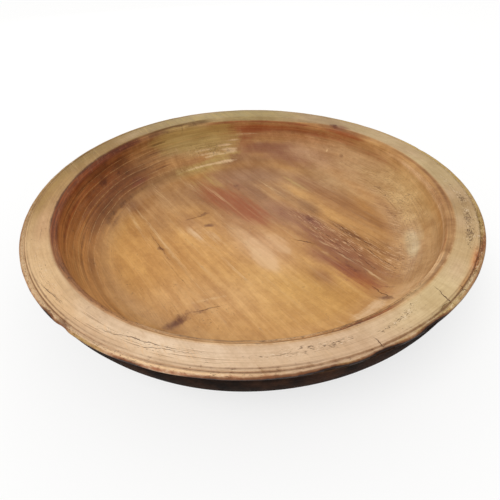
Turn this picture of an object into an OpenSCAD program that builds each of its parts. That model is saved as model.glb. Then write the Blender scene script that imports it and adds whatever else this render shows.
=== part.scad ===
// Round dough bowl, turned in one piece from a single slab of wood.
// The bowl stands on its foot. +Z is up, along the turning axis, and the
// origin is the centre of the foot. All lengths are in millimetres.

/* [Rim] */
// Outside diameter, over the bead
rim_d = 550; // [450:5:650]
// Height from the foot to the top of the rim
rim_h = 92.4; // [86:0.1:130]
// Radius of the round bead at the outer edge
bead_r = 2.2; // [1.7:0.1:3]
// Width of the groove between the bead and the flat
groove_w = 1.8; // [1:0.1:3]
// Depth of that groove
groove_depth = 1.5; // [0.8:0.1:1.6]
// Width of the flat of the rim, inside the groove
flat_w = 24; // [14:0.5:28]
// How far the flat falls towards its inner edge
flat_fall = 1.2; // [0:0.1:2]

/* [Lip] */
// Width of the worn bevel between the flat and the wall
lip_w = 8; // [4:0.5:12]
// How far that bevel falls
lip_fall = 5; // [2:0.5:8]

/* [Hollow] */
// Thickness of the wood in the middle of the floor
floor_t = 18.2; // [10:0.2:24]
// How far the middle of the floor lies below its edge
floor_dish = 4; // [1:0.5:6]
// Radius of the cove that turns the wall into the floor
cove_r = 58; // [35:1:62]

/* [Outside] */
// How far the outside wall stands in from the middle of the bead
neck_inset = 1.3; // [0.3:0.1:1.5]
// Height of the upright part of the outside wall, below the bead
neck_h = 2.4; // [0.5:0.1:8]
// Radius of the shoulder below it
shoulder_r = 74; // [50:1:78]
// Diameter of the flat foot
foot_d = 384; // [300:2:400]
// Width and height of the bevel around the foot
foot_bevel = 3; // [1:0.5:6]

/* [Hidden] */
$fn = 180;

// The hollow is cut past the top of the solid by this much
overrun = 5;
// The dish's circle is large, so it has more sides
dish_sides = 2400;

// Heights and radii of the rim
rim_r = rim_d / 2;
bead_x = rim_r - bead_r;
bead_z = rim_h - bead_r;
groove_z = rim_h - groove_depth;
flat_outer_r = bead_x - bead_r - groove_w;
flat_inner_r = flat_outer_r - flat_w;
flat_inner_z = rim_h - flat_fall;

// The hollow: bevel, upright wall, cove and dished floor.
// The cove is never taller than the wall that it rounds off.
wall_r = flat_inner_r - lip_w;
wall_top_z = flat_inner_z - lip_fall;
floor_z = floor_t + floor_dish;
cove_fit_r = min(cove_r, wall_top_z - floor_z);
cove_z = floor_z + cove_fit_r;
floor_r = wall_r - cove_fit_r;
dish_r = (floor_r * floor_r + floor_dish * floor_dish) / (2 * floor_dish);

// The outside: upright neck, round shoulder and straight slope to the foot.
// The shoulder is never taller than the wall that it rounds off.
neck_r = bead_x - neck_inset;
shoulder_z = bead_z - bead_r - neck_h;
shoulder_fit_r = min(shoulder_r, shoulder_z - foot_bevel);
shoulder_x = neck_r - shoulder_fit_r;
foot_r = foot_d / 2;

// The slope leaves the top of the foot's bevel and touches the shoulder's circle
slope_start = [foot_r, foot_bevel];
to_shoulder = [shoulder_x, shoulder_z] - slope_start;
slope_turn = acos(shoulder_fit_r / norm(to_shoulder));
touch_angle = atan2(to_shoulder.y, to_shoulder.x) + 180 + slope_turn;
touch = [
  shoulder_x + shoulder_fit_r * cos(touch_angle),
  shoulder_z + shoulder_fit_r * sin(touch_angle)
];

// The part of each circle that shapes the wall
module shoulder_section() {
  intersection() {
    translate([shoulder_x, shoulder_z]) circle(r = shoulder_fit_r);
    translate([shoulder_x, 0]) square([shoulder_fit_r, shoulder_z]);
  }
}

// Half of the bowl's section without its hollow, from the foot round to the rim.
// The groove is the step between the flat and the bead.
module outside_section() {
  polygon([
    [0, 0],
    [foot_r - foot_bevel, 0],
    slope_start,
    touch,
    [shoulder_x, shoulder_z],
    [neck_r, shoulder_z],
    [neck_r, bead_z],
    [bead_x, bead_z],
    [bead_x, groove_z],
    [flat_outer_r, groove_z],
    [flat_outer_r, rim_h],
    [flat_inner_r, flat_inner_z],
    [wall_r, wall_top_z],
    [0, wall_top_z]
  ]);
  shoulder_section();
  translate([bead_x, bead_z]) circle(r = bead_r);
}

module cove_section() {
  intersection() {
    translate([floor_r, cove_z]) circle(r = cove_fit_r);
    translate([floor_r, floor_z]) square([cove_fit_r, cove_fit_r]);
  }
}

module dish_section() {
  intersection() {
    translate([0, floor_z - floor_dish + dish_r]) circle(r = dish_r, $fn = dish_sides);
    translate([0, floor_z - floor_dish]) square([floor_r, floor_dish]);
  }
}

module hollow_section() {
  translate([0, floor_z]) square([floor_r, rim_h - floor_z + overrun]);
  translate([0, cove_z]) square([wall_r, rim_h - cove_z + overrun]);
  cove_section();
  dish_section();
}

module bowl() {
  color("#c49a5c")
    rotate_extrude()
      difference() {
        outside_section();
        hollow_section();
      }
}

bowl();
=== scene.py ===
import math
from functools import partial

import bpy
import numpy as np
from mathutils import Matrix, Vector

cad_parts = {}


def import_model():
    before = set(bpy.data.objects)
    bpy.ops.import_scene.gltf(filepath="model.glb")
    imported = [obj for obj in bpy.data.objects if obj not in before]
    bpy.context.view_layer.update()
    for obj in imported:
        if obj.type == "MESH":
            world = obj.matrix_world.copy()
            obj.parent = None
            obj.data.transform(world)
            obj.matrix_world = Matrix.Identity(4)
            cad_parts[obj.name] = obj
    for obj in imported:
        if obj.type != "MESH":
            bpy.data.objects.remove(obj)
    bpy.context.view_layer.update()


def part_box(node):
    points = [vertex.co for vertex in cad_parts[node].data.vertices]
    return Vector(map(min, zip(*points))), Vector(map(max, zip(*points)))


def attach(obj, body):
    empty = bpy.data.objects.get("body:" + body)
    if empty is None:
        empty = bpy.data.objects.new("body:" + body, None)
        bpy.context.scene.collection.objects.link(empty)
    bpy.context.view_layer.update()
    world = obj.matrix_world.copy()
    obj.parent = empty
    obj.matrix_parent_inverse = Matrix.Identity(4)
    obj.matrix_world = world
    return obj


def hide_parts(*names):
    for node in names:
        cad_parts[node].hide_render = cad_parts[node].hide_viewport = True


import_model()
print("frame loaded")

metre = 0.001  # lengths below are in millimetres, and meshes are in metres

# The turned section, as in the solid: foot, slope, shoulder, bead, groove, flat, lip, cove and floor
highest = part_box("bowl")[1]
turning = {
    "rimRadius": highest[0] / metre,
    "rimTop": highest[2] / metre,
    "beadRadius": 2.2,
    "grooveWidth": 1.8,
    "grooveDepth": 1.5,
    "flatWidth": 24.0,
    "flatFall": 1.2,
    "lipWidth": 8.0,
    "lipFall": 5.0,
    "floorThickness": 18.2,
    "floorDish": 4.0,
    "coveRadius": 58.0,
    "neckInset": 1.3,
    "neckHeight": 2.4,
    "shoulderRadius": 74.0,
    "footRadius": 192.0,
    "footBevel": 3.0,
    "rimLength": 33.4,    # along the section, from the bead's outermost part to the flat's inner edge
    "arcPoints": 60,      # points of the outline along each arc
    "step": 0.2,          # spacing of the worn outline
    "softness": 0.35,     # how far use has rounded every corner
    "deepSoftness": 2.2,  # and how far it has rounded the foot of the lip and the edge of the foot
    "lipReach": 6.0,      # the deeper rounding reaches this far from the foot of the lip
    "footReach": 9.0,     # and this far from the edge of the foot
}


def turnedOutline(t):
    # Straight lines and circular arcs joined end to end, from the foot's centre to the floor's centre.
    # The slope leaves the foot's bevel and touches the shoulder's circle, as a tangent does.
    beadX = t["rimRadius"] - t["beadRadius"]
    beadZ = t["rimTop"] - t["beadRadius"]
    grooveR = beadX - t["beadRadius"] - t["grooveWidth"]
    flatR = grooveR - t["flatWidth"]
    flatZ = t["rimTop"] - t["flatFall"]
    wallR = flatR - t["lipWidth"]
    floorZ = t["floorThickness"] + t["floorDish"]
    floorR = wallR - t["coveRadius"]
    coveZ = floorZ + t["coveRadius"]
    neckR = beadX - t["neckInset"]
    shoulderX = neckR - t["shoulderRadius"]
    shoulderZ = beadZ - t["beadRadius"] - t["neckHeight"]
    start = np.array([t["footRadius"], t["footBevel"]])
    toShoulder = np.array([shoulderX, shoulderZ]) - start
    turn = math.acos(t["shoulderRadius"] / np.hypot(*toShoulder))
    touch = math.atan2(toShoulder[1], toShoulder[0]) - math.pi + turn
    grooveZ = t["rimTop"] - t["grooveDepth"]
    beadLow = -math.acos(-t["neckInset"] / t["beadRadius"])
    beadHigh = math.pi - math.asin((grooveZ - beadZ) / t["beadRadius"])
    dishR = (floorR ** 2 + t["floorDish"] ** 2) / (2 * t["floorDish"])

    def arc(cx, cz, radius, first, last):
        # Centre plus radius times the cosine and sine of an angle that goes from first to last
        a = np.linspace(first, last, t["arcPoints"])
        return np.stack([cx + radius * np.cos(a), cz + radius * np.sin(a)], 1)

    dish = np.linspace(floorR, 0, t["arcPoints"])
    dishZ = t["floorThickness"] + dishR - np.sqrt(dishR ** 2 - dish ** 2)
    parts = {
        "foot": np.array([[0.0, 0.0], [t["footRadius"] - t["footBevel"], 0.0]]),
        "bevel": start[None],
        "slopeAndShoulder": arc(shoulderX, shoulderZ, t["shoulderRadius"], touch, 0),
        "neck": np.array([[neckR, beadZ + t["beadRadius"] * math.sin(beadLow)]]),
        "bead": arc(beadX, beadZ, t["beadRadius"], beadLow, beadHigh),
        "groove": np.array([[grooveR, grooveZ], [grooveR, t["rimTop"]]]),
        "flat": np.array([[flatR, flatZ]]),
        "lip": np.array([[wallR, flatZ - t["lipFall"]]]),
        "wall": arc(floorR, coveZ, t["coveRadius"], 0, -math.pi / 2),
        "floor": np.stack([dish[1:], dishZ[1:]], 1),
    }
    corners = np.concatenate(list(parts.values()))
    along = np.r_[0, np.cumsum(np.hypot(*np.diff(corners, axis=0).T))]
    ends = dict(zip(parts, along[np.cumsum([len(part) for part in parts.values()]) - 1]))
    return corners, along, ends


def wornOutline(t):
    # The outline blurred along its own length: a little everywhere, more at the lip and the foot
    corners, along, ends = turnedOutline(t)
    s = np.arange(0, along[-1], t["step"])
    r = np.interp(s, along, corners[:, 0])
    z = np.interp(s, along, corners[:, 1])

    def blurred(width):
        # Mean of the neighbours, weighted by a bell curve. Past the axis the outline goes on mirrored.
        reach = int(5 * width / t["step"])
        weights = np.exp(-0.5 * (np.arange(-reach, reach + 1) * t["step"] / width) ** 2)
        weights /= weights.sum()
        both = []
        for values, sign in ((r, -1), (z, 1)):
            padded = np.r_[sign * values[reach:0:-1], values, sign * values[-2:-reach - 2:-1]]
            both.append(np.convolve(padded, weights, "valid"))
        return both

    fine, deep = blurred(t["softness"]), blurred(t["deepSoftness"])
    near = np.exp(-((s - ends["lip"]) / t["lipReach"]) ** 4)
    near += np.exp(-((s - ends["foot"]) / t["footReach"]) ** 4)
    r, z = (a * (1 - near) + b * near for a, b in zip(fine, deep))
    r[0] = r[-1] = 0
    return s, r, z, ends


outlineS, outlineR, outlineZ, ends = wornOutline(turning)
print("outline", {part: round(float(end), 1) for part, end in ends.items()})

# Profile lengths below are counted from the bead's outermost part: less than nothing is outside
rimStart = ends["flat"] - turning["rimLength"]


def waves(theta, s, count, around, along, seed):
    # Sum of cosines with seeded phases; each has a whole number of waves round the bowl, at most
    # around, and is at least along long. With s of nothing they only go round.
    draw = np.random.default_rng(seed)
    m = draw.integers(-around, around + 1, count)
    n = draw.uniform(-1, 1, count) / along * 2 * math.pi
    phase = draw.uniform(0, 2 * math.pi, count)
    total = sum(np.cos(m[i] * theta + n[i] * s + phase[i]) for i in range(count))
    return total / math.sqrt(count)


def angleTo(theta, degrees):
    # Signed difference in radians, wrapped to half a turn either way
    return np.angle(np.exp(1j * (theta - math.radians(degrees))))


# Where the wood has moved and worn since it was turned. Waves are given as count, most round the
# bowl, shortest length along the section, and seed. Widths round the bowl are in radians.
shape = {
    "warp": 2.2,              # the rim's saddle: high along the grain, low across it
    "warpTurn": 40.0,         # degrees from +X to the low side
    "unevenness": 0.25,
    "unevenWaves": (14, 9, 70, 5),
    "rimUneven": 0.4,         # share of it that is left on the rim
    "rimRipple": 0.08,
    "rimWaves": (16, 60, 14, 7),
    "rimZone": (-10, 0, 40, 46),      # profile lengths: begins, is whole, starts to fade, is gone
    "ringDepth": 0.32,
    "ringWaves": (9, 7, 60, 3),
    "ringPatches": (0.7, 0.45),       # the share that shows everywhere, and what its waves add
    "ringZone": (43, 49, 110, 150),
    "ringTurn": 178.0,        # degrees: the side where the rings show most
    "ringWidth": 0.9,
    "ringLeast": 0.35,        # share of their depth on the far side
    # rings left by the tool on the wall: profile length, height, half-width
    "rings": (
        (46.5, -0.5, 1.1), (51.0, 0.5, 1.4), (56.0, -0.8, 2.0), (61.5, 0.7, 1.8), (66.0, -0.5, 1.6),
        (70.5, 0.5, 1.6), (76.0, -0.6, 1.8), (81.0, 0.9, 1.6), (85.5, -0.7, 1.6), (90.5, 0.5, 1.6),
        (95.0, -0.5, 1.5), (99.5, 0.5, 1.6), (104.0, -0.5, 1.8), (109.5, 0.4, 1.8), (116.0, -0.4, 2.4),
    ),
    "chatter": 0.25,          # ripple of the lip where the tool skipped
    "chatterWaves": (12, 70, 40, 11),
    "chatterAt": 38.0,        # profile length
    "chatterHalf": 5.0,
    "chatterTurn": 285.0,
    "chatterWidth": 0.75,
    "chatterLeast": 0.15,
    # dents and chips: turn in degrees, profile length, depth, half-width round, half-width along
    "chips": (
        (307.6, 8.0, 1.8, 5.0, 3.2), (233.5, 0.5, 1.4, 7.0, 3.5), (285.5, 4.0, 0.7, 9.0, 2.0),
        (246.0, 1.5, 0.7, 8.0, 2.0), (324.0, 7.0, 0.9, 9.0, 2.5), (119.0, 38.0, 1.0, 7.0, 4.0),
        (50.6, 36.0, 1.3, 6.0, 4.0), (147.0, 37.0, 0.8, 9.0, 3.0), (341.0, 20.0, 0.5, 4.0, 3.0),
        (262.0, 3.0, 0.6, 5.0, 2.0), (20.0, 3.0, 0.6, 6.0, 2.0), (190.0, 3.0, 0.5, 5.0, 2.0),
    ),
    "footRingDepth": 0.15,    # rings cut into the flat of the foot
    "footRingSpacing": 9.0,
    "footRingRadii": (4.0, 182.0),
    "footStart": 12.0,        # the wear comes in over this length past the flat of the foot
}


def zone(p, begins, whole, fades, gone):
    # Rises in a straight line from begins to whole, and falls in one from fades to gone
    return np.clip((p - begins) / (whole - begins), 0, 1) * np.clip((gone - p) / (gone - fades), 0, 1)


def relief(s, theta, r, w):
    # Height in millimetres along the normal: tool rings on the wall, unevenness everywhere, ripple of
    # the rim and chatter of the lip, less the chips, and less the rings of the foot
    p = s - rimStart
    strong = np.exp(-(angleTo(theta, w["ringTurn"]) / w["ringWidth"]) ** 2)
    strong = w["ringLeast"] + (1 - w["ringLeast"]) * strong
    rings = sum(height * np.exp(-((p - at) / half) ** 2) for at, height, half in w["rings"])
    always, now = w["ringPatches"]
    patchy = always + now * waves(theta, p, *w["ringWaves"])
    h = w["ringDepth"] * rings * zone(p, *w["ringZone"]) * strong * patchy
    rim = zone(p, *w["rimZone"])
    h += w["unevenness"] * (1 - (1 - w["rimUneven"]) * rim) * waves(theta, p, *w["unevenWaves"])
    h += w["rimRipple"] * rim * waves(theta, p, *w["rimWaves"])
    lip = np.exp(-((p - w["chatterAt"]) / w["chatterHalf"]) ** 2)
    skip = np.exp(-(angleTo(theta, w["chatterTurn"]) / w["chatterWidth"]) ** 2)
    skip = w["chatterLeast"] + skip
    h += w["chatter"] * lip * skip * waves(theta, p, *w["chatterWaves"])
    for turn, at, depth, around, along in w["chips"]:
        away = (angleTo(theta, turn) * r / around) ** 2 + ((p - at) / along) ** 2
        h -= depth * np.exp(-away ** 1.5)
    pastFoot = np.clip((s - ends["foot"]) / w["footStart"], 0, 1)
    first, last = w["footRingRadii"]
    footRings = 1 + np.cos(s * 2 * math.pi / w["footRingSpacing"])
    footRings = w["footRingDepth"] * footRings * (s > first) * (s < last)
    return h * pastFoot - footRings * (1 - pastFoot)


# The grid: how far apart the rows are in each part, and how many columns go round
grid = {
    "columns": 300,           # the rim and the wall have twice as many
    "foot": 16.0, "bevel": 1.2, "slopeAndShoulder": 7.0, "neck": 1.2,
    "bead": 0.75, "groove": 0.6, "flat": 1.9, "lip": 1.0, "wall": 1.65, "floor": 3.5,
}


def rowsOf(names):
    # Row positions along the outline, evenly spaced within each named part
    order = list(ends)
    rows = []
    for name in names:
        before = order.index(name) - 1
        first = ends[order[before]] if before >= 0 else 0.0
        count = max(2, round((ends[name] - first) / grid[name]))
        rows.append(first + (ends[name] - first) * np.arange(count) / count)
    return np.concatenate(rows)


def ringsOf(rows, columns):
    # Surface of revolution: (r, z) at length s turned through theta, moved along its normal by the
    # relief, and then bent into a saddle that grows with the height and the square of the radius
    theta = np.linspace(0, 2 * math.pi, columns, endpoint=False)[None, :]
    s = rows[:, None]
    r = np.interp(s, outlineS, outlineR)
    z = np.interp(s, outlineS, outlineZ)
    slopeR = np.interp(s, outlineS, np.gradient(outlineR, outlineS))
    slopeZ = np.interp(s, outlineS, np.gradient(outlineZ, outlineS))
    size = np.hypot(slopeR, slopeZ)
    h = relief(s, theta, r, shape)
    newR = r + h * slopeZ / size
    newZ = z - h * slopeR / size
    lift = np.clip(z / turning["rimTop"], 0, 1) ** 1.5 * (r / turning["rimRadius"]) ** 2
    newZ = newZ - shape["warp"] * lift * np.cos(2 * (theta - math.radians(shape["warpTurn"])))
    ring = np.stack([newR * np.cos(theta), newR * np.sin(theta), newZ], -1).reshape(-1, 3)
    return ring, np.broadcast_to(s, h.shape).ravel(), np.broadcast_to(theta, h.shape).ravel()


def bandFaces(first, rowCount, columns):
    # Quads between neighbouring rows, closed round the bowl
    i, j = np.meshgrid(np.arange(rowCount - 1), np.arange(columns), indexing="ij")
    k = (j + 1) % columns
    a, b = first + i * columns, first + (i + 1) * columns
    return np.stack([a + j, a + k, b + k, b + j], -1).reshape(-1, 4)


def stepFaces(coarse, fine, columns, outward):
    # Three triangles join each column of a coarse ring to the two columns of the fine ring beside it
    j = np.arange(columns)
    k = (j + 1) % columns
    f0, f1, f2 = fine + 2 * j, fine + 2 * j + 1, fine + (2 * j + 2) % (2 * columns)
    faces = np.concatenate([
        np.stack([coarse + j, coarse + k, f1], 1),
        np.stack([coarse + j, f1, f0], 1),
        np.stack([coarse + k, f2, f1], 1),
    ])
    return faces if outward else faces[:, ::-1]


def bowlGrid():
    # Foot and outside, then rim and wall with twice the columns, then floor; one point at each pole
    n = grid["columns"]
    bands = [
        (rowsOf(["foot", "bevel", "slopeAndShoulder", "neck"])[1:], n),
        (rowsOf(["bead", "groove", "flat", "lip", "wall"]), 2 * n),
        (rowsOf(["floor"]), n),
    ]
    places, lengths, turns, faces = [], [], [], []
    starts, first = [], 0
    for rows, columns in bands:
        ring, s, theta = ringsOf(rows, columns)
        places.append(ring)
        lengths.append(s)
        turns.append(theta)
        faces.append(bandFaces(first, len(rows), columns))
        starts.append(first)
        first += len(rows) * columns
    faces.append(stepFaces(starts[1] - n, starts[1], n, True))
    faces.append(stepFaces(starts[2], starts[2] - 2 * n, n, False))
    j = np.arange(n)
    k = (j + 1) % n
    foot, middle = first, first + 1
    faces.append(np.stack([np.full(n, foot), k, j], 1))
    last = first - n
    faces.append(np.stack([last + j, last + k, np.full(n, middle)], 1))
    places.append(np.array([[0, 0, 0], [0, 0, outlineZ[-1]]]))
    lengths.append(np.array([0, outlineS[-1]]))
    turns.append(np.zeros(2))
    return np.concatenate(places), np.concatenate(lengths), np.concatenate(turns), faces


points, lengths, turns, faceSets = bowlGrid()
print("grid", len(points), "points")


def meshFrom(name, places, faces):
    # A smooth mesh from points in millimetres and arrays of three or four corners
    mesh = bpy.data.meshes.new(name)
    sizes = np.concatenate([np.full(len(f), f.shape[1]) for f in faces])
    corners = np.concatenate([f.ravel() for f in faces])
    mesh.vertices.add(len(places))
    mesh.vertices.foreach_set("co", (places * metre).astype(np.float32).ravel())
    mesh.loops.add(len(corners))
    mesh.loops.foreach_set("vertex_index", corners.astype(np.int32))
    mesh.polygons.add(len(sizes))
    mesh.polygons.foreach_set("loop_start", np.r_[0, np.cumsum(sizes)[:-1]].astype(np.int32))
    mesh.polygons.foreach_set("use_smooth", np.ones(len(sizes), bool))
    mesh.update(calc_edges=True)
    mesh.validate()
    piece = bpy.data.objects.new(name, mesh)
    bpy.context.scene.collection.objects.link(piece)
    return piece


bowl = meshFrom("turned_bowl", points, faceSets)


def linear(code):
    # sRGB hex to linear red, green and blue
    c = np.array([int(code[i:i + 2], 16) for i in (1, 3, 5)]) / 255
    return np.where(c <= 0.04045, c / 12.92, ((c + 0.055) / 1.055) ** 2.4)


# Colour is laid on the surface in listed patches, whose outline the waves below make uneven. Two
# kinds: on the floor, and on the wall or rim. A row gives the patch's place and size, then, where
# they aren't the usual ones, its turn on the floor and the firmness of its edge, then its strength.
grainTurn = -54.0   # the way the grain runs, in degrees from +X
wallStart = 43.0    # profile length where the lip ends and the wall starts
wallWobble = ((0.16, (12, 24, 22, 21)), (0.12, (12, 9, 80, 22)))  # heights and waves
floorWobble = (0.12, (12, 3, 60, 23))
floorTurn = 40.0    # on the floor the waves are this long, in millimetres, for each radian of a turn
x, y = points[:, 0], points[:, 1]
p = lengths - rimStart
wallUneven = sum(height * waves(turns, p, *wave) for height, wave in wallWobble)
floorUneven = floorWobble[0] * waves(x / floorTurn, y, *floorWobble[1])


def floorPatch(cx, cy, long, wide, turn=grainTurn, firmness=2.6):
    # Falls from one at (cx, cy), by the power firmness of the distance along and across its turn
    a = math.radians(turn)
    u = (x - cx) * math.cos(a) + (y - cy) * math.sin(a)
    v = (y - cy) * math.cos(a) - (x - cx) * math.sin(a)
    away = np.hypot(u / long, v / wide) * (1 + floorUneven)
    return np.exp(-np.abs(away) ** firmness) * (p > wallStart)


def wallPatch(turn, at, around, along, firmness=2.6):
    # The same round a turn in degrees and a profile length, with half-sizes in degrees and length
    u = angleTo(turns, turn) / math.radians(around)
    v = (p - at) / along
    away = np.hypot(u, v) * (1 + wallUneven)
    return np.exp(-np.abs(away) ** firmness)


def past(edge, soft):
    # Nothing before a profile length and one past it, as a soft step
    return 1 / (1 + np.exp((edge - p) / soft))


def before(edge, soft):
    # One before a profile length and nothing past it, as a soft step
    return 1 / (1 + np.exp((p - edge) / soft))


# Broad tone of the wood, softly blended, with a few painted highlights and some painted shade among its
# patches. Later patches lie over earlier ones.
toneOf = {"outside": "#2a1a10", "rim": "#d2b493", "wall": "#bd8f58", "floor": "#c99a5a"}
patchOn = {"rim": wallPatch, "wall": wallPatch, "floor": floorPatch}
tonePatches = {
    "rim": (
        (180, 20, 34, 60, 3, "#ad8850", 0.9), (178, 14, 26, 7, 3, "#a5844b", 0.75),
        (214, 20, 20, 60, 3, "#d9b789", 0.85), (228, 16, 12, 8, 3, "#e4c090", 0.8),
        (247, 18, 16, 12, 3, "#e4c8a6", 0.8), (151, 20, 20, 60, 3, "#987841", 0.9),
        (126, 20, 18, 60, 3, "#937a44", 0.9), (90, 20, 28, 60, 3, "#9f8c5b", 0.95),
        (56, 20, 16, 60, 3, "#a48a65", 0.9), (32, 20, 16, 60, 3, "#b9a177", 0.85),
        (5, 20, 16, 60, 3, "#b8a174", 0.9), (345, 20, 9, 60, 3, "#ab8f60", 0.8),
        (328, 20, 11, 60, 3, "#bc9f6f", 0.85), (196, 26, 9, 9, "#d3a880", 0.5),
        (160, 12, 12, 8, "#8f7442", 0.6), (256, 26, 14, 9, "#f0dabf", 0.5),
        (309, 20, 12, 60, 3, "#cbb684", 0.75), (240, 14, 12, 5, "#c9a37c", 0.5),
        (324.5, 8.6, 4.4, 4.2, "#dd8e4c", 0.8), (316, 9.6, 4, 2.6, "#bf8644", 0.8),
        # (254, 3.8) is a painted highlight on the top of the bead in front
        (254, 3.8, 15, 1.9, "#f6d0a0", 0.8), (338, 6.0, 8, 2.2, "#83682c", 0.75),
        (331, 4.0, 5, 3, "#8a4f24", 0.7),
    ),
    "wall": (
        (184, 60, 46, 26, 3, "#c1844f", 0.9), (196, 95, 44, 22, 3, "#d49b5b", 0.9),
        # (161, 62) and (157, 98) darken the left wall: partly its own colour, partly painted shade where
        # it faces away from the light
        (161, 62, 20, 42, 3, "#a4673b", 0.95), (157, 98, 20, 22, 3, "#985b32", 0.8),
        (80, 60, 42, 18, 3, "#aa784e", 0.85), (62, 96, 28, 24, 3, "#b89270", 0.9),
        (92, 96, 14, 22, 3, "#a67a54", 0.8), (32, 80, 22, 40, 3, "#c19e73", 0.85),
        (5, 80, 24, 42, 3, "#d2b37e", 0.9), (334, 86, 16, 40, 3, "#c2a074", 0.85),
        (313, 80, 12, 24, 3, "#dcbd94", 0.8), (270, 90, 34, 60, 3, "#c99a5c", 0.8),
        (136, 66, 12, 30, 3, "#b78b58", 0.9), (119, 62, 13, 30, 3, "#d8bf88", 0.9),
        (138, 118, 32, 16, 3, "#8e683f", 0.9), (92, 118, 24, 14, 3, "#90694b", 0.75),
        (216, 90, 20, 34, 3, "#d0a068", 0.65), (212, 124, 15, 16, 3, "#e6b676", 0.85),
        # (342, 99) and (347, 88) are a painted highlight: the window's reflection on the right wall, with
        # firm edges
        (8, 113, 18, 10, 3, "#ae855a", 0.7), (342, 99, 8.5, 10.5, 7, "#cdbb92", 0.8),
        (347, 88, 5, 7, 6, "#c6a97a", 0.7), (174, 40, 40, 6, 4, "#904a0a", 0.92),
        (176, 36, 38, 2.4, 4, "#8a4400", 0.95), (148, 39, 12, 6, 4, "#5e2800", 0.85),
        (226, 40, 14, 6, 4, "#a87448", 0.85), (234, 35.5, 14, 2.2, 4, "#d8ac80", 0.85),
        (126, 36, 15, 2.6, 4, "#6a4414", 0.9), (18, 41, 34, 9, 4, "#bd925a", 0.9),
        (336, 36, 44, 2.6, 4, "#8f653a", 0.95), (342, 47.2, 44, 4.4, 4, "#f4d6ac", 0.85),
        (49, 38, 12, 6, 4, "#8d5f39", 0.85), (338, 41, 16, 9, 4, "#b8905e", 0.85),
        (315, 44, 9, 8, 4, "#e4c79e", 0.85), (305, 37, 8, 5, 4, "#fff0c0", 0.32),
        (254, 41, 9, 5, 4, "#f6d2a8", 0.9), (277, 39.5, 9, 3.4, 4, "#efcda2", 0.8),
        (314, 54, 9, 7, 3, "#ecd0a6", 0.8), (264, 42, 16, 8, 4, "#cfb28c", 0.85),
        (294, 41, 10, 8, 4, "#c79d6c", 0.8),
    ),
    "floor": (
        (-125, -60, 95, 80, 0, "#d09c56", 0.8), (-150, 60, 60, 34, "#c69963", 0.7),
        (55, -126, 84, 46, 0, "#cda056", 0.9), (-50, -140, 100, 40, 0, "#d2a570", 0.6),
        (-10, 160, 84, 48, 0, "#9b7456", 0.9), (-142, 104, 62, 36, "#a77f58", 0.75),
        (-92, 106, 66, 26, "#9f754e", 0.75), (112, 140, 60, 50, "#b8946a", 0.85),
        (-20, 66, 84, 36, "#996540", 0.85), (94, 122, 42, 18, grainTurn, 3, "#9b6d49", 0.8),
        (136, 70, 54, 21, grainTurn, 3, "#a5744b", 0.8), (48, 40, 66, 26, "#ab8060", 0.9),
        (120, -50, 95, 34, "#9d6a44", 0.9), (160, 25, 90, 24, "#b18350", 0.8),
        (188, -60, 60, 22, "#ad8252", 0.8), (8, -28, 60, 26, "#c69a70", 0.8),
        (10, 98, 40, 16, "#946a4a", 0.8), (52, 96, 34, 15, "#a27c58", 0.8),
        (88, 56, 32, 14, "#9b734d", 0.8), (90, 18, 20, 12, "#93644a", 0.7),
        (88, -100, 24, 12, "#a06f42", 0.85), (-178, 60, 28, 22, "#96683f", 0.8),
        (26, 150, 66, 34, 0, "#a07d62", 0.55), (150, 120, 60, 36, "#b99a74", 0.6),
        (-84, 176, 54, 12, 27, "#b39a62", 0.8), (-136, 24, 34, 18, "#a87a4a", 0.7),
        (-92, 22, 30, 17, "#b48556", 0.7), (88, -62, 28, 13, "#945f42", 0.7),
    ),
}
# Where each zone ends: the usual profile length, then shifts as turn, length and half-width in
# radians, then ripples round the bowl as height and waves. At the back the worn lip has kept the
# colour of the rim.
zoneEnds = {
    "outside": (-2.4, ((289, 4.4, 0.40), (246, 1.8, 0.34)), (1.5, (14, 40, 50, 37))),
    "rim": (34.4, ((88, 8.0, 0.45), (302, -2.3, 0.95))),
    "wall": (124.0, ((192, -18.0, 0.8),), (5.0, (10, 12, 50, 35))),
}
zoneSoft = {"outside": 0.5, "bead": 0.45, "lip": 0.4, "floor": 5}  # how softly they meet


def zoneEnd(usual, shifts, *ripples):
    # The usual length, with its shifts near their turns and its ripples all round
    moved = sum(by * np.exp(-(angleTo(turns, turn) / half) ** 4) for turn, by, half in shifts)
    return usual + moved + sum(height * waves(turns, 0, *wave) for height, wave in ripples)


darkEnd, rimEnd, wallEnd = (zoneEnd(*zoneEnds[name]) for name in ("outside", "rim", "wall"))
zones = {
    "outside": before(darkEnd, zoneSoft["outside"]),
    "rim": past(darkEnd, zoneSoft["bead"]) * before(rimEnd, zoneSoft["lip"]),
    "wall": past(rimEnd, zoneSoft["lip"]) * before(wallEnd, zoneSoft["floor"]),
    "floor": past(wallEnd, zoneSoft["floor"]),
}
total = sum(zones.values())
tone = 0
for name, share in zones.items():
    colour = np.broadcast_to(linear(toneOf[name]), (len(points), 3))
    for *where, code, amount in tonePatches.get(name, ()):
        a = (patchOn[name](*where) * amount)[:, None]
        colour = colour * (1 - a) + linear(code)[None] * a
    tone = tone + colour * (share / total)[:, None]
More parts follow.
